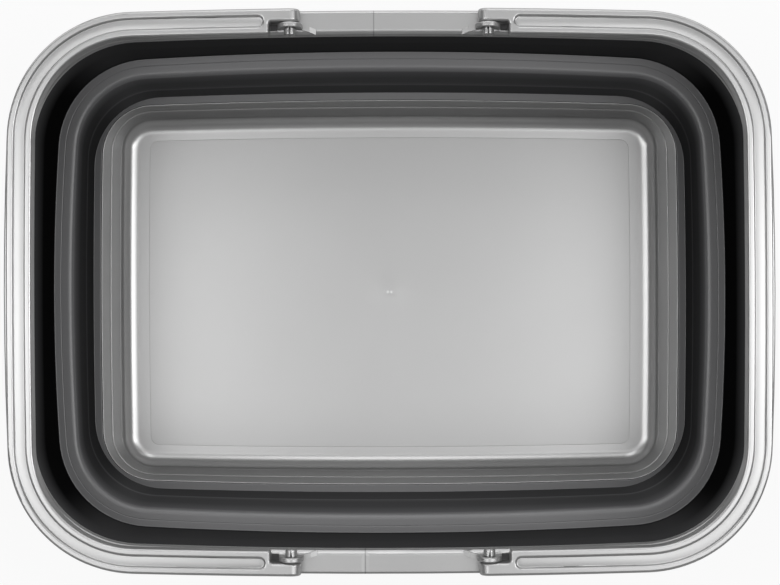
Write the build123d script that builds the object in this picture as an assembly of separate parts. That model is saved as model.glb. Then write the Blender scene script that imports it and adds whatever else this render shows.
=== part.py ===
from build123d import *
import math
import os

# Collapsible washing-up bowl with two carrying handles, in millimetres.
# Z is up, X runs along the long side, and the origin is the centre of the underside.
# The bowl is modelled open, with both handles folded down on the rim.

# Heights of the open bowl
tray_height = 70.5
tray_wall = 2.6
foot_lip = 2.5            # soft flange on top of the tray's edge
foot_skirt = 12.0         # soft band that wraps the tray's edge from outside
fold_height = 77.0        # folding wall, from the flange up to the upper wall
upper_height = 67.8       # upper wall, from the fold up to the rim's nose
nose_height = 4.2         # rounded inner edge of the rim

# Rim
rim_half_x = 225.0
rim_half_y = 164.2
rim_corner = 76.0
rim_bow_x = 2200.0        # radius of the gently bowed short sides
rim_bow_y = 5300.0        # radius of the gently bowed long sides
land_ends = 16.5          # width of the rim's top at the short sides
land_sides = 14.6         # width of the rim's top at the long sides
mouth_corner = 62.0
mouth_bow_x = 5000.0
mouth_bow_y = 3600.0
plate_thickness = 2.6
skirt_height = 26.0
skirt_wall = 2.2
lock_height = 12.0        # inner skirt that holds the soft wall
flange_width = 7.6        # the soft wall turns outwards under the rim by this much
flange_height = 2.4
nose_radius = 3.8
rim_edge_radius = 1.4
rib_thickness = 1.6
rib_pitch = 44.0
ribs_long = 7
ribs_short = 5

# Soft wall
wall_thickness = 2.8
fold_thickness = 2.2
upper_draft = 0.4
upper_corner = 57.0
upper_bow_x = 1350.0
upper_bow_y = 2650.0
ledge_width = 4.5         # flat step at the top of the folding wall
roll_radius = 7.4         # rounded shoulder below the step
roll_steps = 5            # flat strips that make up the shoulder
fold_taper_x = 0.4
fold_taper_y = 5.2
fold_corner = 46.0
fold_bow_x = 4000.0
fold_bow_y = 4200.0
foot_ledge = 5.3          # flat step on top of the tray

# Tray
tray_corner = 33.0
tray_draft_x = 5.6
tray_draft_y = 4.5
floor_corner = 20.0
floor_bow_x = 6000.0
floor_bow_y = 7000.0
floor_radius = 9.0        # between the floor and the wall
sole_radius = 11.0        # between the underside and the wall
foot_steps = 6            # flat strips that make up each of these two curves
step_height = 46.0        # fine step round the inside of the tray's wall
step_depth = 0.7
panel_inset_x = 7.5       # the floor's raised panel, measured from the foot of the curve
panel_inset_y = 4.8
panel_corner = 6.0
panel_rise = 0.15
border_rise = 0.12        # the border round the panel slopes up to the curve by this much
gate_radius = 2.6
gate_depth = 0.5

# Handles and their pivots
lip_reveal = 3.5          # the rim shows this much outside the handles' grips
handle_width = 14.8
handle_thickness = 11.6
handle_corner = 74.0
handle_bow_x = 5500.0
handle_gap = 0.3
edge_radius = 1.6
pivot_x = 57.4
tab_thickness = 7.5
notch_reach = 11.9        # from the pivot to where the handle is full width
channel_inset = 4.3       # width of each ridge beside the grip channel
channel_depth = 1.9
channel_start = 15.2      # from the pivot to the channel's rounded end
channel_radius = 0.6
channel_nib = 0.05        # flat left between the two round corners at each end
channel_flare = 1.2       # rounding of the channel's upper edges
crown_height = 0.15       # the channel's bottom rises this much to its middle
crown_root = 0.3
hollow_height = 6.4
hollow_wall = 2.8
hollow_start = 22.0
hollow_rib = 1.6
arm_rib_pitch = 30.0
arm_ribs = 3
grip_ribs = 7
ear_thickness = 3.0
ear_gap = 0.3
ear_radius = 7.15
ear_bulge = 38.0          # plan radius of the ear's curved plate
ear_edge = 0.7
heel_length = 7.6
tail_length = 14.9
tail_height = 1.9
tail_flat = 11.2          # from the pivot to where the tail's top turns down
tail_toe = 0.3
core_slot_x = 4.4         # moulding slot through the rim beside each ear
core_slot_y = 4.8
pin_radius = 2.6
pin_clearance = 0.08
pin_seat = 0.02
pin_slot = 1.2
barb_radius = 3.4
barb_length = 4.0
barb_gap = 0.5
barb_round = 1.2
head_radius = 3.9
head_thickness = 1.8
head_sink = 0.6

# Heights that follow
foot_top = tray_height + foot_lip
upper_bottom = foot_top + fold_height
nose_bottom = upper_bottom + upper_height
rim_top = nose_bottom + nose_height
handle_bottom = rim_top + handle_gap
handle_top = handle_bottom + handle_thickness
axis_z = (handle_bottom + handle_top) / 2
past = 1.0                # how far a cutting solid runs past what it cuts


class Ring:
    """A rounded rectangle with gently bowed sides, drawn as eight tangent arcs."""

    def __init__(self, half_x, half_y, corner, bow_x, bow_y):
        self.half_x = half_x
        self.half_y = half_y
        self.corner = corner
        self.bow_x = bow_x
        self.bow_y = bow_y

    def grown(self, by):
        """The parallel outline, further out by this much."""
        return Ring(self.half_x + by, self.half_y + by, self.corner + by,
                    self.bow_x + by, self.bow_y + by)

    def toward(self, other, share):
        """An outline part of the way from this one to another."""
        def mix(name):
            near, far = getattr(self, name), getattr(other, name)
            return near + (far - near) * share
        return Ring(mix("half_x"), mix("half_y"), mix("corner"), mix("bow_x"), mix("bow_y"))

    def corner_centre(self):
        """Centre of the corner arc, which touches both bowed sides."""
        run = self.bow_x - self.half_x
        rise = self.bow_y - self.half_y
        reach_x = self.bow_x - self.corner
        reach_y = self.bow_y - self.corner
        span = math.hypot(run, rise)
        along = (reach_x ** 2 - reach_y ** 2 + span ** 2) / (2 * span)
        aside = math.sqrt(reach_x ** 2 - along ** 2)
        return Vector(-run + (run * along + rise * aside) / span,
                      (run * aside - rise * along) / span)

    def corner_points(self):
        """Start, middle and end of the corner arc at +X +Y."""
        centre = self.corner_centre()
        side_x = Vector(self.half_x - self.bow_x, 0)
        side_y = Vector(0, self.half_y - self.bow_y)
        low = side_x + (centre - side_x).normalized() * self.bow_x
        high = side_y + (centre - side_y).normalized() * self.bow_y
        mid = centre + (low + high - centre * 2).normalized() * self.corner
        return low, mid, high

    def face(self, z=0.0):
        """The outline as a flat face at height z."""
        low, mid, high = self.corner_points()
        edges = []
        for sx, sy in ((1, 1), (-1, 1), (-1, -1), (1, -1)):
            edges.append(ThreePointArc(*[Vector(p.X * sx, p.Y * sy, z) for p in (low, mid, high)]))
        for s in (1, -1):
            edges.append(ThreePointArc(Vector(s * low.X, -low.Y, z), Vector(s * self.half_x, 0, z),
                                       Vector(s * low.X, low.Y, z)))
            edges.append(ThreePointArc(Vector(-high.X, s * high.Y, z), Vector(0, s * self.half_y, z),
                                       Vector(high.X, s * high.Y, z)))
        return make_face(Wire(edges))

    def block(self, low, high):
        """The outline as an upright solid between two heights."""
        return extrude(self.face(low), high - low, dir=(0, 0, 1))

    def half_y_at(self, x):
        """How far out the long side is at this x."""
        return self.half_y - self.bow_y + math.sqrt(self.bow_y ** 2 - x ** 2)

    def left_line(self, x, z):
        """The left end of the outline as a line, from the far long side at -x round to the near one."""
        low, mid, high = self.corner_points()
        half = (x + high.X) / 2
        arm = [Vector(x, self.half_y_at(x)), Vector(half, self.half_y_at(half)), high]
        side = [low, Vector(self.half_x, 0), Vector(low.X, -low.Y)]
        runs = [(1, arm), (1, (high, mid, low)), (1, side), (-1, (low, mid, high)), (-1, arm[::-1])]
        return Wire([ThreePointArc(*[Vector(-p.X, s * p.Y, z) for p in run]) for s, run in runs])


# Outlines, from the rim inwards and down
rim_ring = Ring(rim_half_x, rim_half_y, rim_corner, rim_bow_x, rim_bow_y)
mouth_ring = Ring(rim_half_x - land_ends, rim_half_y - land_sides, mouth_corner, mouth_bow_x, mouth_bow_y)
upper_ring = Ring(mouth_ring.half_x - upper_draft, mouth_ring.half_y - upper_draft,
                  upper_corner, upper_bow_x, upper_bow_y)
shoulder_width = ledge_width + roll_radius
foot_ring = Ring(upper_ring.half_x - shoulder_width - fold_taper_x,
                 upper_ring.half_y - shoulder_width - fold_taper_y,
                 fold_corner, fold_bow_x, fold_bow_y)
tray_ring = Ring(foot_ring.half_x - foot_ledge, foot_ring.half_y - foot_ledge,
                 tray_corner, fold_bow_x, fold_bow_y)
floor_ring = Ring(tray_ring.half_x - tray_draft_x, tray_ring.half_y - tray_draft_y,
                  floor_corner, floor_bow_x, floor_bow_y)
curve_ring = floor_ring.grown(-step_depth - floor_radius)
panel_ring = Ring(curve_ring.half_x - panel_inset_x, curve_ring.half_y - panel_inset_y,
                  panel_corner, floor_bow_x, floor_bow_y)
handle_ring = Ring(rim_half_x - lip_reveal, rim_half_y, handle_corner, handle_bow_x, rim_bow_y)

# Where each handle's tab stands beside its ear, measured from the bowl's long middle line
tab_outer_y = handle_ring.half_y_at(pivot_x)
tab_inner_y = tab_outer_y - tab_thickness
ear_outer_y = tab_inner_y - ear_gap
ear_inner_y = ear_outer_y - ear_thickness
barb_top_y = ear_inner_y - barb_gap
head_outer_y = tab_outer_y - head_sink


def stack(levels):
    """One solid through several outlines, each given with its height."""
    return loft([ring.face(z) for ring, z in levels], ruled=True)


def level_edges(shape, z):
    """The edges of a shape that lie flat at height z."""
    def flat(edge):
        box = edge.bounding_box()
        return abs(box.min.Z - z) < 0.001 and abs(box.max.Z - z) < 0.001
    return shape.edges().filter_by(flat)


def within(edges, ring):
    """Those edges that don't reach outside an outline's box."""
    def fits(edge):
        box = edge.bounding_box()
        reach_x = max(box.max.X, -box.min.X)
        reach_y = max(box.max.Y, -box.min.Y)
        return reach_x < ring.half_x + 0.01 and reach_y < ring.half_y + 0.01
    return edges.filter_by(fits)


def rod(radius, y_low, y_high):
    """A round bar along Y, on the pivot's line."""
    middle = (y_low + y_high) / 2
    return Pos(0, middle, axis_z) * Rot(90, 0, 0) * Cylinder(radius, y_high - y_low)


def tray_outline(z):
    """The inside of the tray's slanting wall at height z."""
    return floor_ring.toward(tray_ring, (z - tray_wall) / (tray_height - tray_wall))


def tray_levels(low, high, radius, out):
    """Outlines of one face of the tray's wall, with a rounded foot at the lower end."""
    levels = []
    for step in range(foot_steps + 1):
        turn = math.radians(90) * step / foot_steps
        z = low + radius * (1 - math.cos(turn))
        levels.append((tray_outline(z).grown(out - radius * (1 - math.sin(turn))), z))
    return levels + [(tray_outline(high).grown(out), high)]


def make_base_tray():
    """Rigid tray: a floor with a flat raised panel, and a slanting wall with a rounded foot."""
    outer = stack(tray_levels(0, tray_height, sole_radius, tray_wall))
    border = [(panel_ring, tray_wall)]
    room = stack(border + tray_levels(tray_wall + border_rise, step_height, floor_radius, -step_depth))
    room += stack([(tray_outline(step_height), step_height), (tray_ring, tray_height)])
    panel_top = tray_wall + panel_rise
    panel = panel_ring.block(tray_wall / 2, panel_top)
    gate = Pos(0, 0, panel_top) * Cylinder(gate_radius, 2 * gate_depth)
    return outer - room + panel - gate


def make_wall_foot():
    """Soft flange, moulded over the top edge of the tray and round its outside."""
    low = tray_height - foot_skirt
    low_ring = tray_outline(low).grown(tray_wall)
    edge_ring = tray_ring.grown(tray_wall)
    skirt = stack([(low_ring.grown(fold_thickness), low), (edge_ring.grown(fold_thickness), tray_height)])
    skirt -= stack([(low_ring, low), (edge_ring, tray_height)])
    flange = foot_ring.block(tray_height, foot_top) - tray_ring.block(tray_height - past, foot_top + past)
    return skirt + flange


def fold_levels(thickness):
    """Outlines of one side of the folding wall, from its foot up to the flat step."""
    levels = [(foot_ring.grown(thickness), foot_top)]
    edge_ring = upper_ring.grown(-ledge_width)
    for step in range(roll_steps, -1, -1):
        turn = math.radians(90) * step / roll_steps
        radius = roll_radius - thickness
        levels.append((edge_ring.grown(-radius * math.sin(turn)),
                       upper_bottom - roll_radius + radius * math.cos(turn)))
    return levels


def make_folding_wall():
    """Thin soft wall between the tray and the upper wall. It turns inside out as the bowl collapses."""
    top_ring = upper_ring.grown(wall_thickness)
    outer = stack(fold_levels(fold_thickness))
    outer += top_ring.block(upper_bottom - fold_thickness, upper_bottom)
    outer += foot_ring.grown(fold_thickness).block(tray_height, foot_top)
    inner = stack(fold_levels(0)) + foot_ring.block(tray_height - past, foot_top)
    return outer - inner


def make_upper_wall():
    """Soft wall that hangs from the rim, with a flange under the rim's top."""
    bend = nose_bottom - lock_height
    top_ring = mouth_ring.grown(wall_thickness)
    outer = stack([(upper_ring.grown(wall_thickness), upper_bottom), (top_ring, bend)])
    outer += top_ring.block(bend, nose_bottom)
    outer += mouth_ring.grown(flange_width).block(nose_bottom - flange_height, nose_bottom)
    inner = stack([(upper_ring, upper_bottom), (mouth_ring, bend)])
    inner += mouth_ring.block(bend, nose_bottom + past)
    return outer - inner


def make_ear():
    """An ear with its pivot at x = 0 and its tail towards +X, on the far side of the bowl."""
    root = rim_top - plate_thickness * 0.8
    tail_z = rim_top + tail_height
    outline = [(tail_length, 0, root), (-heel_length, 0, root), (-ear_radius, 0, axis_z)]
    edges = [Line(a, b) for a, b in zip(outline, outline[1:])]
    edges.append(ThreePointArc(outline[-1], (0, 0, axis_z + ear_radius), (ear_radius, 0, axis_z)))
    outline = [(ear_radius, 0, axis_z), (ear_radius, 0, tail_z), (tail_flat, 0, tail_z),
               (tail_length, 0, rim_top + tail_toe), (tail_length, 0, root)]
    edges += [Line(a, b) for a, b in zip(outline, outline[1:])]
    side = Pos(0, ear_outer_y, 0) * extrude(make_face(Wire(edges)), 2 * ear_thickness, dir=(0, -1, 0))
    hub_y = ear_outer_y - ear_bulge
    deep = axis_z + 2 * ear_radius
    plate = Pos(0, hub_y, deep / 2) * (Cylinder(ear_bulge, deep) - Cylinder(ear_bulge - ear_thickness, deep))
    ear = side & plate

    def on_arch(edge):
        return edge.geom_type != GeomType.LINE and edge.bounding_box().max.Z > axis_z - 0.01
    return fillet(ear.edges().filter_by(on_arch), ear_edge)


def at_pivots(piece):
    """Copies of a piece for the four pivots, from one drawn at x = 0 on the far side."""
    left = Pos(-pivot_x, 0, 0) * piece
    pair = [left, left.mirror(Plane.XZ)]
    return pair + [copy.mirror(Plane.YZ) for copy in pair]


def rim_ribs(reach):
    """Thin walls across the hollow under the rim, square to each side."""
    ribs = []
    high = rim_top - plate_thickness
    low = nose_bottom - lock_height
    for index in range(ribs_long):
        x = (index - (ribs_long - 1) / 2) * rib_pitch
        ribs.append(Pos(x, 0, (low + high) / 2) * Box(rib_thickness, reach, high - low))
    for index in range(ribs_short):
        y = (index - (ribs_short - 1) / 2) * rib_pitch
        ribs.append(Pos(0, y, (low + high) / 2) * Box(reach, rib_thickness, high - low))
    return ribs


def make_rim_frame():
    """Rigid rim: a flat top with a rounded nose inside, a skirt outside and an ear at each pivot."""
    low = rim_top - skirt_height
    lock_low = nose_bottom - lock_height
    frame = rim_ring.block(low, rim_top)
    frame = fillet(level_edges(frame, rim_top), rim_edge_radius)
    frame -= mouth_ring.block(low - past, rim_top + past)
    frame = fillet(within(level_edges(frame, rim_top), mouth_ring), nose_radius)
    lock_ring = mouth_ring.grown(flange_width + skirt_wall)
    hollow = rim_ring.grown(-skirt_wall).block(low - past, rim_top - plate_thickness)
    hollow -= lock_ring.block(low - 2 * past, rim_top)
    for rib in rim_ribs(3 * rim_half_x):
        hollow -= rib
    frame -= hollow
    frame -= lock_ring.block(low - past, lock_low)
    frame -= mouth_ring.grown(flange_width).block(low - past, nose_bottom)
    slot_x = -notch_reach + core_slot_x / 2
    slot_y = (ear_inner_y + ear_outer_y) / 2
    slot = Pos(slot_x, slot_y, rim_top) * Box(core_slot_x, core_slot_y, 2 * (nose_height + past))
    bore = rod(pin_radius + pin_clearance, ear_inner_y - 2 * ear_thickness, ear_outer_y + ear_gap)
    for ear in at_pivots(make_ear()):
        frame += ear
    for cut in at_pivots(slot) + at_pivots(bore):
        frame -= cut
    return frame


def handle_hollow():
    """The room under the left handle, between its ribs."""
    low = handle_bottom - past
    high = handle_bottom + hollow_height
    room = handle_ring.grown(-hollow_wall).block(low, high)
    room -= handle_ring.grown(hollow_wall - handle_width).block(low - past, high + past)
    start = pivot_x + hollow_start
    room &= Pos(-start - rim_half_x / 2, 0, handle_bottom) * Box(rim_half_x, 3 * rim_half_y, 4 * high)
    for index in range(arm_ribs):
        x = -start - (index + 1) * arm_rib_pitch
        room -= Pos(x, 0, handle_bottom) * Box(hollow_rib, 3 * rim_half_y, 4 * high)
    for index in range(grip_ribs):
        y = (index - (grip_ribs - 1) / 2) * arm_rib_pitch
        room -= Pos(-rim_half_x, y, handle_bottom) * Box(rim_half_x / 2, hollow_rib, 4 * high)
    return room


def handle_channel():
    """The shallow grip channel along the top of the left handle, with a round end at each arm."""
    low = handle_top - channel_depth
    high = handle_top + past
    width = handle_width - 2 * channel_inset
    room = handle_ring.grown(-channel_inset).block(low, high)
    room -= handle_ring.grown(channel_inset - handle_width).block(low - past, high + past)
    start = pivot_x + channel_start
    room &= Pos(-start - rim_half_x / 2, 0, high) * Box(rim_half_x, 3 * rim_half_y, 4 * handle_thickness)
    corners = room.edges().filter_by(Axis.Z).filter_by_position(Axis.X, -start - 0.01, -start + 0.01)
    room = fillet(corners, width / 2 - channel_nib)
    return fillet(level_edges(room, low), channel_radius)


def channel_crown():
    """The low crown along the bottom of the grip channel, with a domed end at each arm."""
    half = handle_width / 2 - channel_inset - channel_radius
    radius = (half ** 2 + crown_height ** 2) / (2 * crown_height)
    end = pivot_x + channel_start + handle_width / 2 - channel_inset
    line = handle_ring.grown(-handle_width / 2).left_line(end, handle_top - channel_depth)
    start, along = line @ 0, line % 0
    across = Plane(origin=start, x_dir=Vector(-along.Y, along.X), z_dir=along)
    section = make_face(Wire([
        ThreePointArc((-half, 0), (0, crown_height), (half, 0)),
        Line((half, 0), (half, -crown_root)),
        Line((half, -crown_root), (-half, -crown_root)),
        Line((-half, -crown_root), (-half, 0)),
    ]))
    dome = Pos(start) * (Cylinder(half, 2 * crown_root) & Pos(0, 0, crown_height - radius) * Sphere(radius))
    dome &= across * Pos(0, 0, -handle_width / 2) * Box(handle_width, handle_width, handle_width)
    return sweep(across * section, path=line) + dome + dome.mirror(Plane.XZ)


def make_handle():
    """Left handle, folded down: a U with a round-ended tab at each pivot."""
    body = handle_ring.block(handle_bottom, handle_top)
    body -= handle_ring.grown(-handle_width).block(handle_bottom - past, handle_top + past)
    side = Pos(-pivot_x - rim_half_x / 2, 0, axis_z) * Box(rim_half_x, 3 * rim_half_y, handle_thickness)
    side += Pos(-pivot_x, 0, 0) * rod(handle_thickness / 2, -1.5 * rim_half_y, 1.5 * rim_half_y)
    body &= side
    notch = handle_ring.grown(-tab_thickness).block(handle_bottom - past, handle_top + past)
    notch_x = -pivot_x - notch_reach + rim_half_x / 2
    notch &= Pos(notch_x, 0, axis_z) * Box(rim_half_x, 3 * rim_half_y, rim_half_x)
    body -= notch
    channel = handle_channel()
    body = fillet(body.edges(), edge_radius) - channel

    def on_channel(edge):
        return channel.distance_to(edge @ 0.5) < 0.001
    body = fillet(level_edges(body, handle_top).filter_by(on_channel), channel_flare)
    body = body + channel_crown() - handle_hollow()
    for hole in at_pivots(rod(pin_radius + pin_seat, ear_outer_y, tab_outer_y + past))[:2]:
        body -= hole
    seat_y = head_outer_y - head_thickness
    for seat in at_pivots(rod(head_radius + pin_clearance, seat_y, tab_outer_y + past))[:2]:
        body -= seat
    return body


def make_pin():
    """Snap pin on the far side: a head in the handle's tab, and a split barb inside the ear."""
    shank = rod(pin_radius, barb_top_y, head_outer_y)
    head = rod(head_radius, head_outer_y - head_thickness, head_outer_y)
    barb = rod(barb_radius, barb_top_y - barb_length, barb_top_y)
    tip = barb.edges().group_by(Axis.Y)[0]
    barb = fillet(tip, barb_round)
    split = Pos(0, barb_top_y - barb_length, axis_z)
    split *= Box(pin_slot, 2 * (barb_length + barb_gap + ear_thickness), 3 * barb_radius)
    return shank + head + barb - split


def write(name, piece):
    """One file for one piece."""
    piece.label = name
    export_step(piece, os.path.join("parts", name + ".step"))


def main():
    os.makedirs("parts", exist_ok=True)
    write("base_tray", make_base_tray())
    write("wall_foot", make_wall_foot())
    write("folding_wall", make_folding_wall())
    write("upper_wall", make_upper_wall())
    write("rim_frame", make_rim_frame())
    left = make_handle()
    write("left_handle", left)
    write("right_handle", left.mirror(Plane.YZ))
    places = ("left_far", "left_near", "right_far", "right_near")
    for place, pin in zip(places, at_pivots(make_pin())):
        write("pivot_pin_" + place, pin)


main()
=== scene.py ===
# %% [markdown]
# # A collapsible washing-up bowl
# This lesson dresses a CAD model of an oblong collapsible bowl for a studio photograph that was
# taken from straight above. The rigid tray and rim are silver plastic, and the wall between them
# is one soft dark grey moulding.
# The CAD model comes in from model.glb. The rim, the handles and their pins keep their CAD
# shapes and get a finish. The tray and the soft wall are made anew, because their fine curves and
# steps are what the light shows.

# %% Load the frame
import math

import bpy
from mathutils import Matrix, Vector


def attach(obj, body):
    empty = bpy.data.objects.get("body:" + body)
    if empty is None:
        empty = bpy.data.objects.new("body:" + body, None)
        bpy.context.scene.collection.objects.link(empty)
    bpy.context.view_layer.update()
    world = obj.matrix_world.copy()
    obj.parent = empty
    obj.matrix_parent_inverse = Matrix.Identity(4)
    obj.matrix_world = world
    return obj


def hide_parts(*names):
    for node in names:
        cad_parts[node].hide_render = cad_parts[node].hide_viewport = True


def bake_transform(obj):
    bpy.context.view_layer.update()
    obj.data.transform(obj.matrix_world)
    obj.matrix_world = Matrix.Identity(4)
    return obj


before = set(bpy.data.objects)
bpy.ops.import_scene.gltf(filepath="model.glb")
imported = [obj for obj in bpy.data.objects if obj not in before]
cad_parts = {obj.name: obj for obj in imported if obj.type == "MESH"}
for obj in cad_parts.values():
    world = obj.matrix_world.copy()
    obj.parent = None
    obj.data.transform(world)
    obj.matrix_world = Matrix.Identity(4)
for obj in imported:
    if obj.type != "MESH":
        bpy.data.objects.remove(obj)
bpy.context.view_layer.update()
print("CAD nodes:", len(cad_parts))

# %% [markdown]
# ## Outlines
# Every ring of the bowl, from the rim to the tray, is a rounded rectangle whose sides bow out a
# little. Eight arcs that touch draw it exactly: two for the short sides, two for the long ones
# and four corners. All outlines get the same number of points in the same order, so any two can
# be joined by a strip of quads.
# Sizes are in millimetres here, because the drawings of such a product are, and become metres in
# the mesh.

# %% An outline
MM = 0.001
SIDE_STEPS = 10
CORNER_STEPS = 16


class Outline:
    """A rounded rectangle with gently bowed sides."""

    def __init__(self, half_x, half_y, corner, bow_x, bow_y):
        self.half_x = half_x
        self.sizes = (half_x, half_y, corner, bow_x, bow_y)

    def grown(self, by):
        """The parallel outline, further out by this much."""
        return Outline(*[size + by for size in self.sizes])

    def shrunk(self, share):
        """A smaller outline of the same form."""
        return Outline(*[size * share for size in self.sizes])

    def toward(self, other, share):
        """An outline part of the way from this one to another."""
        return Outline(*[a + (b - a) * share for a, b in zip(self.sizes, other.sizes)])

    def points(self):
        """Points round the outline, from the middle of the right side and counter-clockwise."""
        half_x, half_y, corner, bow_x, bow_y = self.sizes
        # The corner arc touches both side arcs, which gives its centre and the two turns
        run, rise = bow_x - half_x, bow_y - half_y
        reach_x, reach_y = bow_x - corner, bow_y - corner
        span = math.hypot(run, rise)
        along = (reach_x ** 2 - reach_y ** 2 + span ** 2) / (2 * span)
        aside = math.sqrt(reach_x ** 2 - along ** 2)
        centre_x = (run * along + rise * aside) / span - run
        centre_y = (run * aside - rise * along) / span
        first = math.atan2(centre_y, centre_x + run)
        second = math.atan2(centre_y + rise, centre_x)
        quarter = []
        for step in range(SIDE_STEPS):
            turn = first * step / SIDE_STEPS
            quarter.append((bow_x * math.cos(turn) - run, bow_x * math.sin(turn)))
        for step in range(CORNER_STEPS):
            turn = first + (second - first) * step / CORNER_STEPS
            quarter.append((centre_x + corner * math.cos(turn), centre_y + corner * math.sin(turn)))
        for step in range(SIDE_STEPS + 1):
            turn = second + (math.pi / 2 - second) * step / SIDE_STEPS
            quarter.append((bow_y * math.cos(turn), bow_y * math.sin(turn) - rise))
        half = quarter + [(-x, y) for x, y in reversed(quarter[:-1])]
        return half + [(x, -y) for x, y in reversed(half[1:-1])]


EXAMPLE = Outline(200, 150, 50, 3000, 3000)
print("points in each outline:", len(EXAMPLE.points()))

# %% [markdown]
# ## Sections
# Each ring-shaped piece is a section carried round the bowl. A section is drawn as corners, each
# an outline at a height with the radius that rounds it. Rounding in code, and not with a bevel
# modifier, keeps the exact radius of each corner: highlights on such a product live on those
# radii.
# A level close beside each curve keeps the flat faces flat when the mesh is shaded smooth.

# %% Rounding a section
SHARE_OF_EDGE = 0.46
TURN_PER_STRIP = 0.2
FEWEST_STRIPS, MOST_STRIPS = 2, 12
NEAREST_SUPPORT, FARTHEST_SUPPORT = 0.02, 0.5
SUPPORT_PER_RADIUS = 0.3


def mixed(corner, before, share_before, after, share_after):
    """A level (outline, z) reached from a corner by shares of the ways to its two neighbours."""
    sizes = [c + (b - c) * share_before + (a - c) * share_after
             for c, b, a in zip(corner[0].sizes, before[0].sizes, after[0].sizes)]
    z = corner[1] + (before[1] - corner[1]) * share_before + (after[1] - corner[1]) * share_after
    return Outline(*sizes), z


def turned(vector, angle):
    """A flat vector, turned counter-clockwise."""
    cos, sin = math.cos(angle), math.sin(angle)
    return Vector((cos * vector.x - sin * vector.y, sin * vector.x + cos * vector.y))


def curve(before, corner, after):
    """Levels round one corner, with one more beside each end of the arc."""
    here = Vector((corner[0].half_x, corner[1]))
    back = Vector((before[0].half_x, before[1])) - here
    ahead = Vector((after[0].half_x, after[1])) - here
    angle = back.angle(ahead)
    reach = min(corner[2] / math.tan(angle / 2),
                SHARE_OF_EDGE * back.length, SHARE_OF_EDGE * ahead.length)
    radius = reach * math.tan(angle / 2)
    strips = max(FEWEST_STRIPS, min(MOST_STRIPS, round((math.pi - angle) / TURN_PER_STRIP)))
    support = reach + min(FARTHEST_SUPPORT, NEAREST_SUPPORT + SUPPORT_PER_RADIUS * radius)
    middle = (back.normalized() + ahead.normalized()).normalized()
    centre = here + middle * (radius / math.sin(angle / 2))
    start = here + back.normalized() * reach - centre
    turn = start.angle_signed(here + ahead.normalized() * reach - centre)
    across = back.x * ahead.y - back.y * ahead.x
    levels = [mixed(corner, before, support / back.length, after, 0)]
    for strip in range(strips + 1):
        offset = centre + turned(start, -turn * strip / strips) - here
        share_back = (offset.x * ahead.y - offset.y * ahead.x) / across
        share_ahead = (back.x * offset.y - back.y * offset.x) / across
        levels.append(mixed(corner, before, share_back, after, share_ahead))
    levels.append(mixed(corner, before, 0, after, support / ahead.length))
    return levels


def rounded(corners, closed=True):
    """Levels along a section whose corners are (outline, z, radius)."""
    levels = []
    for index, corner in enumerate(corners):
        at_end = not closed and index in (0, len(corners) - 1)
        if at_end or corner[2] == 0:
            levels.append(corner[:2])
        else:
            levels += curve(corners[index - 1], corner, corners[(index + 1) % len(corners)])
    return levels


print("levels round a square corner:",
      len(curve((EXAMPLE, 0), (EXAMPLE, 10, 1), (EXAMPLE.grown(10), 10))))

# %% [markdown]
# ## From rings to a mesh
# Neighbouring rings have the same number of points, so a strip of quads joins them. A section
# that comes back to its start gives a ring-shaped piece. One that doesn't is closed by a flat
# face on its first and its last ring. Writing the faces out, and not using a modifier, keeps the
# mesh free of stray ones.

# %% A mesh from rings


def ring_at(outline, z):
    """Points round an outline at this height."""
    return [(x, y, z) for x, y in outline.points()]


def skin(name, rings, closed=True):
    """A mesh through rings of points: a closed ring, or a shell with a flat face at each end."""
    count = len(rings[0])
    pairs = list(zip(range(len(rings)), range(1, len(rings))))
    if closed:
        pairs.append((len(rings) - 1, 0))
    faces = []
    for low, high in pairs:
        for i in range(count):
            j = (i + 1) % count
            faces.append((low * count + i, low * count + j, high * count + j, high * count + i))
    if not closed:
        faces.append(tuple(reversed(range(count))))
        faces.append(tuple((len(rings) - 1) * count + i for i in range(count)))
    mesh = bpy.data.meshes.new(name)
    points = [(x * MM, y * MM, z * MM) for ring in rings for x, y, z in ring]
    mesh.from_pydata(points, [], faces)
    mesh.validate()
    mesh.shade_smooth()
    piece = bpy.data.objects.new(name, mesh)
    bpy.context.scene.collection.objects.link(piece)
    print(name, "rings", len(rings), "faces", len(faces))
    return piece


print("quads between two rings:", len(ring_at(EXAMPLE, 0)))

# %% [markdown]
# ## The tray's sizes
# The tray is a rigid moulding with a flat floor, a wide curve up to a slanting wall and a fine
# step round that wall. The sizes are those of the CAD source, in millimetres.
# Much of what a photograph shows inside such a tray is shallow: the step is under a millimetre
# deep, and the border of the floor, the raised panel and the round mark where the mould was
# filled are a tenth or two. All are modelled, because an outline that is drawn in colour alone
# doesn't catch the light.

# %% Tray sizes
TRAY = Outline(190.5, 126.8, 33.0, 4000.0, 4200.0)
FLOOR = Outline(184.9, 122.3, 20.0, 6000.0, 7000.0)
PANEL = Outline(167.7, 107.8, 6.0, 6000.0, 7000.0)
TRAY_TOP = 70.5
WALL = 2.6
SOLE_RADIUS = 11.0
FLOOR_RADIUS = 9.0
CURVE_STRIPS = 18
CURVE_TOP, CURVE_DEPTH = 14.0, 0.05
STEP_HEIGHT, STEP_DEPTH, STEP_SLOPE = 46.0, 0.7, 0.5
LINE_HEIGHT, LINE_DEPTH, LINE_SLOPE = 20.0, 0.12, 0.4
BORDER_RISE, BORDER_START = 0.12, 0.1
GROOVE_WIDTH = 0.2
PANEL_RISE = 0.15
PANEL_SHARES = (0.7, 0.5, 0.3)
SOLE_SHARES = (0.5, 0.9, 0.99)
# Radius and rise of the rings of the round mark, from outside in
GATE_RINGS = ((20, 0), (7.2, 0), (6.6, 0.04), (2.6, 0.04), (2.1, 0.01), (1.4, 0.01), (0.8, -0.2))
print("the tray's edge is", TRAY_TOP, "mm up, and its floor", WALL, "mm")

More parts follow.
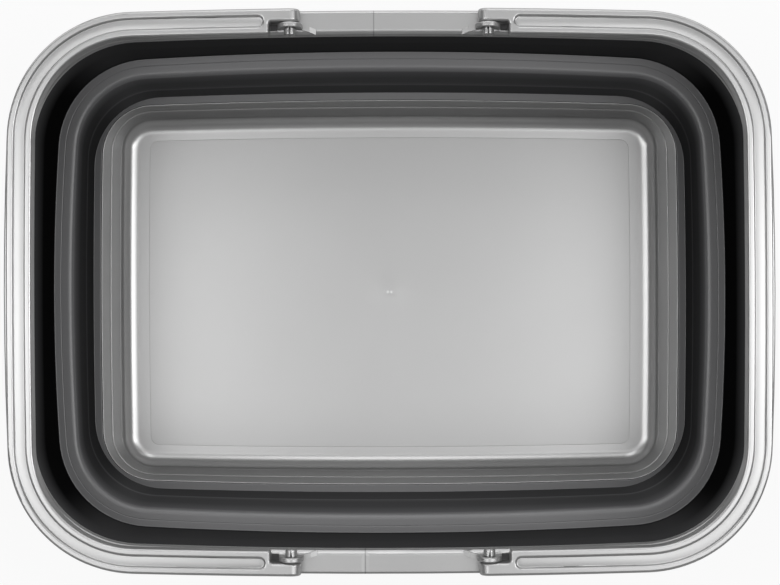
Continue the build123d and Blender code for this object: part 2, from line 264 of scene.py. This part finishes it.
# %% [markdown]
# ## The tray's curves
# The long bright line round the floor in a photograph is the light on the curve at the wall's
# foot, so that curve has many strips. Its outline changes with height as the wall's does, which
# keeps the two in line where they meet.
# The middle of the floor is round and the rest of it is oblong. Rings of points in the same
# directions from the middle join the two without a seam.

# %% Tray curves


def tray_line(z):
    """The inside of the tray's slanting wall at this height."""
    return FLOOR.toward(TRAY, (z - WALL) / (TRAY_TOP - WALL))


def rounded_foot(low, radius, out):
    """Levels of the curve between a flat bottom and the slanting wall."""
    levels = []
    for strip in range(CURVE_STRIPS + 1):
        turn = math.radians(90) * strip / CURVE_STRIPS
        z = low + radius * (1 - math.cos(turn))
        levels.append((tray_line(z).grown(out - radius * (1 - math.sin(turn))), z))
    return levels


def round_at(outline, radius, z):
    """A circle with a point in the direction of each point of the outline."""
    ring = []
    for x, y in outline.points():
        reach = math.hypot(x, y)
        ring.append((x * radius / reach, y * radius / reach, z))
    return ring


print("levels of the curve round the floor:",
      len(rounded_foot(WALL + BORDER_RISE, FLOOR_RADIUS, -STEP_DEPTH)))

# %% [markdown]
# ## The tray's skin
# The tray is one skin: up the outside, over the edge, down the inside and across the floor. Only
# the inside shows in the photograph. It is one piece on the real bowl, and one mesh here has no
# seam that could open under light.

# %% Tray


def tray_wall():
    """Levels up the outside of the wall, over its edge and down the inside."""
    low = SOLE_RADIUS + 1
    step_top = STEP_HEIGHT + STEP_SLOPE
    line_top = LINE_HEIGHT + LINE_SLOPE
    return rounded([
        (tray_line(low).grown(WALL), low, 0),
        (TRAY.grown(WALL), TRAY_TOP, 0.3),
        (TRAY, TRAY_TOP, 0.25),
        (tray_line(step_top), step_top, 0.4),
        (tray_line(STEP_HEIGHT).grown(-STEP_DEPTH), STEP_HEIGHT, 0.35),
        (tray_line(line_top).grown(-STEP_DEPTH), line_top, 0.1),
        (tray_line(LINE_HEIGHT).grown(-STEP_DEPTH - LINE_DEPTH), LINE_HEIGHT, 0.1),
        (tray_line(CURVE_TOP).grown(-STEP_DEPTH - CURVE_DEPTH), CURVE_TOP, 0),
    ], closed=False)


def tray_floor(edge):
    """Levels from the wall's foot over the border and its groove to the middle of the panel."""
    top = WALL + PANEL_RISE
    border = rounded([
        (edge.toward(PANEL, BORDER_START), WALL + BORDER_RISE * (1 - BORDER_START), 0),
        (PANEL.grown(GROOVE_WIDTH), WALL, 0.1),
        (PANEL, top, 0.1),
        (PANEL.shrunk(0.9), top, 0),
    ], closed=False)
    return border + [(PANEL.shrunk(share), top) for share in PANEL_SHARES]


def make_tray():
    outside = rounded_foot(0, SOLE_RADIUS, WALL)
    sole = [(outside[0][0].shrunk(share), 0) for share in SOLE_SHARES]
    inside = rounded_foot(WALL + BORDER_RISE, FLOOR_RADIUS, -STEP_DEPTH)[::-1]
    levels = sole + outside + tray_wall() + inside + tray_floor(inside[-1][0])
    rings = [ring_at(*level) for level in levels]
    rings += [round_at(PANEL, radius, WALL + PANEL_RISE + rise) for radius, rise in GATE_RINGS]
    return skin("tray", rings, closed=False)


tray = make_tray()
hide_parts("base_tray")
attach(tray, "base")

# %% [markdown]
# ## The soft wall's sizes
# One moulding reaches from the tray's edge to the rim. It has a flat step on the tray, a thin
# straight wall with a faint crease, a rounded shoulder with a second step, and a thicker wall up
# to a collar and the flange under the rim. The outlines and heights are those of the CAD source.

# %% Soft wall sizes
MOUTH = Outline(208.5, 149.6, 62.0, 5000.0, 3600.0)
UPPER = Outline(208.1, 149.2, 57.0, 1350.0, 2650.0)
FOOT = Outline(195.8, 132.1, 46.0, 4000.0, 4200.0)
FOOT_TOP = 73.0
LEDGE_TOP = 150.0
NOSE_BOTTOM = 217.8
RIM_TOP = 222.0
THIN = 2.2
THICK = 2.8
LAP = 12.0
LIP_SHOWN = 0.4
MIDDLE = 90.0
CREASE, CREASE_WIDTH, CREASE_DEPTH = 107.0, 3.0, 0.5
ROLL = 7.4
LEDGE = 4.5
GROOVE, GROOVE_DEPTH = 0.6, 0.14
SHOULDER = UPPER.grown(-LEDGE - ROLL)
SHOULDER_Z = LEDGE_TOP - ROLL
COLLAR, COLLAR_SHARE, COLLAR_DEPTH = 194.0, 0.35, 0.7
NECK = 12.0
FLANGE, FLANGE_THICK = 7.6, 2.4
print("the soft wall reaches from", TRAY_TOP - LAP, "to", NOSE_BOTTOM, "mm")

# %% [markdown]
# ## The soft wall
# When the bowl collapses, the thin wall between the two steps turns inside out. So this is one
# mesh. Three stiff pieces would tear there.
# The flange moulded over the tray's edge covers it almost to its inside, as in the photograph.

# %% Soft wall


def wall_line(z):
    """The inside of the thin wall at this height."""
    return FOOT.toward(SHOULDER, (z - FOOT_TOP) / (SHOULDER_Z - FOOT_TOP))


def inside_corners():
    """Corners from the collar under the rim down to the tray's edge."""
    above = CREASE + CREASE_WIDTH
    return [
        (MOUTH.toward(UPPER, COLLAR_SHARE).grown(-COLLAR_DEPTH), COLLAR, 0.5),
        (UPPER, LEDGE_TOP, 0.4),
        (UPPER.grown(GROOVE - LEDGE), LEDGE_TOP, 0.05),
        (UPPER.grown(GROOVE / 2 - LEDGE), LEDGE_TOP - GROOVE_DEPTH, 0.05),
        (UPPER.grown(-LEDGE), LEDGE_TOP, 0.05),
        (SHOULDER, LEDGE_TOP, ROLL - 0.01),
        (wall_line(above), above, 0),
        (wall_line(CREASE).grown(-CREASE_DEPTH), CREASE, 0.8),
        (wall_line(MIDDLE), MIDDLE, 0),
        (FOOT, FOOT_TOP, 0.4),
        (TRAY.grown(LIP_SHOWN), FOOT_TOP, 0.6),
        (TRAY.grown(LIP_SHOWN), TRAY_TOP, 0.1),
    ]


def outside_corners():
    """Corners from the tray's edge, round its outside and up to the flange under the rim."""
    low = TRAY_TOP - LAP
    above = CREASE + CREASE_WIDTH
    return [
        (TRAY.grown(WALL), TRAY_TOP, 0),
        (tray_line(low).grown(WALL), low, 0.2),
        (tray_line(low).grown(WALL + THIN), low, 0.8),
        (TRAY.grown(WALL + THIN), TRAY_TOP, 1.0),
        (FOOT.grown(THIN), TRAY_TOP, 0.8),
        (wall_line(MIDDLE).grown(THIN), MIDDLE, 0),
        (wall_line(CREASE).grown(THIN - CREASE_DEPTH), CREASE, 0.8),
        (wall_line(above).grown(THIN), above, 0),
        (SHOULDER.grown(THIN), LEDGE_TOP - THIN, ROLL - THIN),
        (UPPER.grown(THICK), LEDGE_TOP - THIN, 1.6),
        (MOUTH.grown(THICK), NOSE_BOTTOM - NECK, 0),
        (MOUTH.grown(THICK), NOSE_BOTTOM - FLANGE_THICK, 0.5),
        (MOUTH.grown(FLANGE), NOSE_BOTTOM - FLANGE_THICK, 0.3),
        (MOUTH.grown(FLANGE), NOSE_BOTTOM, 0.3),
        (MOUTH, NOSE_BOTTOM, 0.3),
    ]


def make_soft_wall():
    levels = rounded(inside_corners() + outside_corners())
    return skin("soft_wall", [ring_at(*level) for level in levels])


soft_wall = make_soft_wall()
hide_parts("wall_foot", "folding_wall", "upper_wall")
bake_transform(soft_wall)

# %% [markdown]
# ## Shader sums
# A finish is a small tree of nodes. It could be wired by hand in the shader editor, but a sum of
# five nodes is hard to read there. Here one class wraps a socket, and its operators add the Math
# nodes, so each sum is one Python expression. A Math node turns a colour grey, so colours are
# mixed by a node of their own.

# %% Field
MIX_FACTOR, MIX_LOW, MIX_HIGH, MIX_RESULT = 0, 6, 7, 2


class Field:
    """What comes out of a node: a value or colour that changes over a surface, or a shader."""

    def __init__(self, nodes, socket):
        self.nodes = nodes
        self.socket = socket

    def _sum(self, operation, *values):
        return self.nodes.node("ShaderNodeMath", {"operation": operation}, dict(enumerate(values)))

    def __add__(self, other):
        return self._sum("ADD", self, other)

    __radd__ = __add__

    def __sub__(self, other):
        return self._sum("SUBTRACT", self, other)

    def __rsub__(self, other):
        return self._sum("SUBTRACT", other, self)

    def __mul__(self, other):
        return self._sum("MULTIPLY", self, other)

    __rmul__ = __mul__

    def __gt__(self, other):
        """1 where this is greater, and 0 elsewhere."""
        return self._sum("GREATER_THAN", self, other)

    def __lt__(self, other):
        return self._sum("LESS_THAN", self, other)

    def __abs__(self):
        return self._sum("ABSOLUTE", self)

    def fade(self, low, high):
        """1 up to the low value, 0 from the high one, with a soft change between."""
        return self.nodes.node(
            "ShaderNodeMapRange", {"interpolation_type": "SMOOTHSTEP"},
            {"Value": self, "From Min": low, "From Max": high, "To Min": 1.0, "To Max": 0.0})

    def colours(self, low, high):
        """From one colour to another as the value goes from 0 to 1."""
        return self.nodes.node("ShaderNodeMix", {"data_type": "RGBA"},
                               {MIX_FACTOR: self, MIX_LOW: low, MIX_HIGH: high}, MIX_RESULT)

    def shaders(self, low, high):
        """From one shader to another as the value goes from 0 to 1."""
        return self.nodes.node("ShaderNodeMixShader", None, {0: self, 1: low, 2: high})


print("sums:", ", ".join(("a + b", "a - b", "a * b", "a > b", "abs(a)")))

# %% [markdown]
# ## Adding nodes
# Every node comes from one method. It takes the node's type, its settings, such as the operation
# of a Math node or the stops of a colour ramp, and the values or links of its sockets. Settings
# come first, because they change which sockets a node has.
# A value that is the same all over a surface is set on the socket itself, with no node, because
# that is what an export can read.

# %% Nodes


class Nodes:
    """The nodes of a material or a world."""

    def __init__(self, tree):
        self.tree = tree

    def feed(self, socket, value):
        """A number or colour stays on the socket itself. A Field is linked to it."""
        if isinstance(value, Field):
            self.tree.links.new(value.socket, socket)
        else:
            socket.default_value = value

    def node(self, kind, settings=None, inputs=None, output=0):
        """Add a node, with its settings before its inputs, and give one of its outputs."""
        made = self.tree.nodes.new(kind)
        for name, value in (settings or {}).items():
            if name == "stops":
                self.fill_ramp(made.color_ramp.elements, value)
            else:
                setattr(made, name, value)
        for name, value in (inputs or {}).items():
            self.feed(made.inputs[name], value)
        return Field(self, made.outputs[output])

    def fill_ramp(self, elements, stops):
        """Give a colour ramp these stops: each is a position and a colour."""
        while len(elements) < len(stops):
            elements.new(1.0)
        for element, (position, colour) in zip(elements, stops):
            element.position = position
            element.color = colour


def grey(shade, blue=1.0):
    """A neutral colour, or a cool one where blue is over 1."""
    return (shade, shade, shade * blue, 1)


print("a mid grey is", grey(0.5))

# %% [markdown]
# ## A finish
# One material for one kind of surface. Its nodes read the position on the piece in metres, so a
# grain has the same size everywhere. Position and direction belong to the piece, and not to the
# camera: the finish stays where it is in every view.

# %% Finish
GRAIN_SCALE, GRAIN_DEPTH = 420.0, 0.0001


class Finish(Nodes):
    """One material and its nodes."""

    def __init__(self, name, **values):
        self.material = bpy.data.materials.new(name)
        self.material.use_nodes = True
        super().__init__(self.material.node_tree)
        self.main = self.tree.nodes["Principled BSDF"]
        self.put(**values)

    def put(self, **values):
        """Set sockets of the main shader by name."""
        for name, value in values.items():
            self.feed(self.main.inputs[name.replace("_", " ")], value)

    def mix_over(self, factor, shader):
        """Mix another shader over the main one where the factor is 1."""
        both = factor.shaders(Field(self, self.main.outputs[0]), shader)
        self.feed(self.tree.nodes["Material Output"].inputs["Surface"], both)

    def place(self):
        """Position on the piece, in metres."""
        return self.node("ShaderNodeTexCoord", output="Object")

    def axis(self, name):
        """One coordinate of the position, in metres."""
        return self.node("ShaderNodeSeparateXYZ", None, {0: self.place()}, output=name)

    def facing(self, name):
        """How far the surface faces along one axis: 1 on a flat top for Z, 0 on an upright wall."""
        normal = self.node("ShaderNodeTexCoord", output="Normal")
        return self.node("ShaderNodeSeparateXYZ", None, {0: normal}, output=name)

    def noise(self, scale, detail):
        """Cloudy noise with this many clouds to a metre."""
        return self.node("ShaderNodeTexNoise", None,
                         {"Vector": self.place(), "Scale": scale, "Detail": detail})

    def bump(self, height, strength, distance):
        """Stand the surface up where the height is 1, by this distance in metres."""
        return self.node("ShaderNodeBump", None,
                         {"Height": height, "Strength": strength, "Distance": distance},
                         output="Normal")

    def grain(self, strength):
        """The fine grain of the mould, as a bump."""
        return self.bump(self.noise(GRAIN_SCALE, 1.0), strength, GRAIN_DEPTH)

    def on(self, *pieces):
        """Make this the only material of these pieces."""
        for piece in pieces:
            piece.data.materials.clear()
            piece.data.materials.append(self.material)
        print(self.material.name, "on", [piece.name for piece in pieces])


# %% [markdown]
# ## Silver plastic
# Plastic with a fine metallic pigment: neither quite a metal nor a paint. A part-metallic base
# with a broad highlight gives the pearly grey. On a metal, Specular Tint is the reflection at a
# grazing angle: pigment lies in a binder and shines less there than bare metal, so it is low, and
# lowest on the tray, whose steep wall would look white with more.
# A faint cloudiness from the flow of the pigment and broad rubbed patches keep it from looking
# flat. The roughness stays at 0.277 or more. Below that, the renderer's noise filter draws specks
# on the curves.

# %% Silver finish
CLOUD_SCALE, RUBBED_SCALE = 9.0, 24.0
UNEVEN = 0.02
SILVER_GRAIN = 0.03


def silver_finish(name, dark, light, edge_on, metal, rough):
    """The pigmented plastic between two shades, and its colour for further sums."""
    finish = Finish(name, Metallic=metal, IOR=1.5, Specular_Tint=grey(edge_on))
    cloud = finish.noise(CLOUD_SCALE, 3.0)
    rubbed = finish.noise(RUBBED_SCALE, 2.0)
    colour = cloud.colours(grey(dark), grey(light))
    finish.put(Base_Color=colour, Roughness=rough + UNEVEN * cloud + UNEVEN * rubbed)
    return finish, colour


tray_silver, _ = silver_finish("silver_plastic", dark=0.58, light=0.62,
                               edge_on=0.05, metal=0.6, rough=0.28)
tray_silver.put(Normal=tray_silver.grain(SILVER_GRAIN))
tray_silver.on(tray)

handle_silver, _ = silver_finish("silver_handles", dark=0.48, light=0.52,
                                 edge_on=0.4, metal=0.75, rough=0.277)
handle_silver.put(Normal=handle_silver.grain(SILVER_GRAIN))
handle_silver.on(*[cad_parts[name] for name in (
    "left_handle", "right_handle", "pivot_pin_left_far", "pivot_pin_left_near",
    "pivot_pin_right_far", "pivot_pin_right_near")])

# %% [markdown]
# ## The rim's weld lines
# Where two streams of plastic meet in the rim's mould, on each long side, a fine line stays. On
# the near side it lies on a low ridge. Both are a hair deep, and the rim keeps its CAD shape, so
# the line is drawn as a narrow line of painted shade, the shade that would fall in its fine groove,
# and the ridge as a broad bump, each a sum of the distance to the line. The line is further to the
# left on the near side than on the far one, and its ridge stands higher there.

# %% Rim finish
SEAM_FAR, SEAM_NEAR = -8.9 * MM, -14.6 * MM
SEAM_FROM, SEAM_TO = 0.1 * MM, 0.55 * MM
SEAM_PAINTED_SHADE, SEAM_SHARE = 0.12, 0.5
RIDGE_WIDTH = 2.6 * MM
RIDGE_LOST_FAR = 0.7
RIDGE_STRENGTH, RIDGE_DEPTH = 0.5, 0.0002

rim_silver, rim_colour = silver_finish("silver_rim", dark=0.46, light=0.50,
                                       edge_on=0.4, metal=0.75, rough=0.277)
far_side = rim_silver.axis("Y") > 0.0
seam = SEAM_NEAR + (SEAM_FAR - SEAM_NEAR) * far_side
away = abs(rim_silver.axis("X") - seam)
# The weld line's dark colour is painted shade, for the shade in its hair-deep groove.
seam_painted_shade = SEAM_SHARE * away.fade(SEAM_FROM, SEAM_TO)
ridge = away.fade(0.0, RIDGE_WIDTH) * (1 - RIDGE_LOST_FAR * far_side)
rim_silver.put(
    Base_Color=seam_painted_shade.colours(rim_colour, grey(SEAM_PAINTED_SHADE)),
    Normal=rim_silver.bump(ridge, RIDGE_STRENGTH, RIDGE_DEPTH),
)
rim_silver.on(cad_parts["rim_frame"])

# %% [markdown]
# ## Soft grey plastic
# A rubbery plastic in a dark grey. Its steps and shoulder catch a broad sheen from the lights
# above. The steep walls come from a grained part of the mould and have none: a second, matt
# shader covers what stands upright.
# In the photograph the shade also changes from band to band with the height, and the short ends
# are darker than the long sides. Soft lamps alone don't give that, so three colour ramps over the
# height paint it into the colour: one for what lies flat, one for the sides and one for the ends.
# This is painted shade and painted light: darker down the walls, in the roll under the upper step
# and on the short ends, with lighter bands at the crease, near the upper step and, on the ends,
# just under the rim.

# %% Soft finish
MOTTLE_SCALE, MOTTLE_SHARE, MOTTLE_ROUGH = 14.0, 0.25, 0.06
MOTTLE_COLOUR = (0.16, 0.16, 0.165, 1)
SHEEN_ROUGH, MATT_ROUGH = 0.38, 0.95
SOFT_GRAIN = 0.1
STEEP, FLAT = 0.15, 0.6
SIDE_REACH, END_REACH = 0.05, 0.17
COOL = 1.03

soft = Finish("soft_grey", IOR=1.8)
height = soft.node("ShaderNodeMapRange", None, {
    "Value": soft.axis("Z"), "From Min": FOOT_TOP * MM, "From Max": RIM_TOP * MM})


def painted_shade_by_height(stops):
    """Painted shade and light over the height: each stop is a height in mm and a shade."""
    span = RIM_TOP - FOOT_TOP
    return soft.node("ShaderNodeValToRGB", {"stops": [
        ((z - FOOT_TOP) / span, grey(shade, blue=COOL)) for z, shade in stops]}, {0: height})


# Painted shade and painted light, stop by stop: the dark roll under the upper step, the light band
# at the crease, and on the ends near-black walls with a lighter band under the rim.
flat_painted_shade = painted_shade_by_height((
    (73, 0.125), (117.7, 0.125), (135.6, 0.03), (141.5, 0.04), (149.3, 0.145), (222, 0.145)))
side_painted_shade = painted_shade_by_height((
    (73, 0.085), (99.1, 0.085), (104, 0.16), (107, 0.085), (125.1, 0.09), (140.1, 0.13),
    (148.2, 0.16), (152, 0.03), (157.9, 0.05), (222, 0.055)))
end_painted_shade = painted_shade_by_height((
    (73, 0.03), (99.1, 0.035), (104, 0.07), (107, 0.035), (125.1, 0.045), (140.1, 0.10),
    (148.2, 0.16), (152, 0.005), (189.2, 0.005), (194, 0.016), (222, 0.085)))
print("the shade changes between", FOOT_TOP, "and", RIM_TOP, "mm")

# %% [markdown]
# ## Sheen and matt
# The sheen's colour carries a faint mottle, as handled rubber does. The matt shader goes where
# the surface is steep. Its ends and sides are told apart by the direction in which a wall faces:
# the product of facing and place along X is large only on the short ends.

# %% Sheen and matt
mottle = soft.noise(MOTTLE_SCALE, 3.0)
# The sheen's colour is the painted shade and light for what lies flat, with the mottle over it.
soft.put(
    Base_Color=(MOTTLE_SHARE * mottle).colours(flat_painted_shade, MOTTLE_COLOUR),
    Roughness=SHEEN_ROUGH + MOTTLE_ROUGH * mottle,
    Normal=soft.grain(SOFT_GRAIN),
)
# The matt shader's colour is painted shade: darker on the short ends than on the long sides.
inward = 0 - soft.facing("X") * soft.axis("X")
ends = 1 - inward.fade(SIDE_REACH, END_REACH)
matt = soft.node("ShaderNodeBsdfPrincipled", None, {
    "Base Color": ends.colours(side_painted_shade, end_painted_shade), "Roughness": MATT_ROUGH,
    "Specular IOR Level": 0.0})
soft.mix_over(soft.facing("Z").fade(STEEP, FLAT), matt)
soft.on(soft_wall)

# %% [markdown]
# ## Studio floor
# The bowl stands on a plain white floor. The floor looks white to the camera through Light Path,
# because enough light to make it white would wash out the bowl too. A tenth of the floor's own
# shading stays, so that it keeps the bowl's shadow. It lies half a millimetre under the tray, so
# that the two flat faces don't fight for the same place.

# %% Studio floor
FLOOR_SIZE = 4.0
FLOOR_DROP = 0.0005
FLOOR_GLOW = 0.9

white = Finish("white_floor", Base_Color=grey(0.8), Roughness=0.9)
seen = white.node("ShaderNodeLightPath", output="Is Camera Ray")
glow = white.node("ShaderNodeEmission", None, {"Color": grey(1.0), "Strength": 1.0})
white.mix_over(FLOOR_GLOW * seen, glow)

floor_mesh = bpy.data.meshes.new("studio_floor")
floor_mesh.from_pydata([(x * FLOOR_SIZE, y * FLOOR_SIZE, 0)
                        for x, y in ((-1, -1), (1, -1), (1, 1), (-1, 1))], [], [(0, 1, 2, 3)])
floor = bpy.data.objects.new("studio_floor", floor_mesh)
floor.location.z = -FLOOR_DROP
bpy.context.scene.collection.objects.link(floor)
white.on(floor)

# %% [markdown]
# ## Background
# The world is white to the camera in the same way, so a view from the side has a white background
# too. As a light it is nearly off: the lamps do that work, and a bright world would fill the dark
# bands of the soft wall.

# %% Background
WORLD_LIGHT = 0.06
WORLD_SEEN = 0.98

world = bpy.data.worlds.new("studio")
world.use_nodes = True
around = Nodes(world.node_tree)
sky = world.node_tree.nodes["Background"]
seen = around.node("ShaderNodeLightPath", output="Is Camera Ray")
around.feed(sky.inputs["Color"], grey(1.0))
around.feed(sky.inputs["Strength"], WORLD_LIGHT + (WORLD_SEEN - WORLD_LIGHT) * seen)
bpy.context.scene.world = world
print("the world's strength:", WORLD_LIGHT, "as a light,", WORLD_SEEN, "as a background")

# %% [markdown]
# ## Soft lamps
# A studio's soft light is a large white sheet with a lamp behind it, which an area light is too.
# A silver surface looks like what it mirrors, so what matters is the brightness of the sheet. The
# power that gives this follows from its size: twice the area takes twice the power.

# %% Soft lamps
CEILING = 1.85


def panel(name, centre, width, height, radiance, tilt=0.0):
    """A soft light whose face is this bright, where 1 is a white wall in full light."""
    lamp = bpy.data.lights.new(name, "AREA")
    lamp.shape = "RECTANGLE"
    lamp.size = width
    lamp.size_y = height
    lamp.energy = radiance * math.pi * width * height
    light = bpy.data.objects.new(name, lamp)
    light.location = centre
    light.rotation_euler.x = tilt
    bpy.context.scene.collection.objects.link(light)


def ceiling(name, x, y, radiance):
    """A soft light in the ceiling over a range of x and y."""
    centre = ((x[0] + x[1]) / 2, (y[0] + y[1]) / 2, CEILING)
    panel(name, centre, x[1] - x[0], y[1] - y[0], radiance)


print("the soft lamps hang at", CEILING, "m")

# %% [markdown]
# ## The lamps' places
# Two large soft lights stand left and right of the camera, so the curves at the short sides of
# the tray catch long bright lines, while the long sides stay quieter. The other lamps fill the
# ceiling and the walls between them. Each is set to the brightness that one part of the bowl
# shows in the photograph, because that part mirrors it.

# %% Lamps
LEFT, MIDST, RIGHT = (-1.1, -0.32), (-0.32, 0.32), (0.32, 1.1)
FAR_LEFT, FAR_RIGHT = (-2.4, -1.1), (1.1, 2.4)
NEAR, ABREAST, BEYOND, FAR = (-0.7, -0.25), (-0.25, 0.25), (0.25, 0.7), (0.7, 1.6)
WALL_AWAY, WALL_UP, WALL_WIDTH, WALL_HEIGHT = 1.6, 1.0, 4.8, 1.7

ceiling("bank_left", LEFT, ABREAST, 2.95)
ceiling("bank_right", RIGHT, ABREAST, 3.1)
ceiling("front_left", LEFT, NEAR, 1.87)
ceiling("front_right", RIGHT, NEAR, 1.89)
ceiling("low_left", FAR_LEFT, ABREAST, 4.5)
ceiling("low_right", FAR_RIGHT, ABREAST, 7.2)
ceiling("overhead", MIDST, (NEAR[0], ABREAST[1]), 0.68)
ceiling("behind", (LEFT[0], RIGHT[1]), BEYOND, 0.32)
ceiling("far_strip", MIDST, FAR, 2.93)
panel("far_wall", (0, WALL_AWAY, WALL_UP), WALL_WIDTH, WALL_HEIGHT, 1.32, -math.pi / 2)
panel("near_wall", (0, -WALL_AWAY, WALL_UP), WALL_WIDTH, WALL_HEIGHT, 0.17, math.pi / 2)
print("lamps:", len(bpy.data.lights))

# %% [markdown]
# ## Camera
# The camera looks straight down from 1.1 m above the rim. That distance sets how much smaller the
# floor looks than the rim. The lens then follows from the width of what the picture shows at the
# rim's height, and a small shift and turn match the photograph's framing.

# %% Camera
ABOVE_RIM = 1.1
PICTURE_WIDTH = 780
PIXEL_AT_RIM = 0.5824 * MM
SENSOR = 36.0
ASIDE = 0.0002
TURN = -0.0028

camera_data = bpy.data.cameras.new("camera")
camera_data.sensor_width = SENSOR
camera_data.lens = SENSOR * ABOVE_RIM / (PICTURE_WIDTH * PIXEL_AT_RIM)
camera = bpy.data.objects.new("camera", camera_data)
camera.location = (ASIDE, -ASIDE, RIM_TOP * MM + ABOVE_RIM)
camera.rotation_euler.z = TURN
bpy.context.scene.collection.objects.link(camera)
bpy.context.scene.camera = camera
bpy.context.scene.view_settings.view_transform = "Standard"
print("lens:", round(camera_data.lens, 2), "mm")
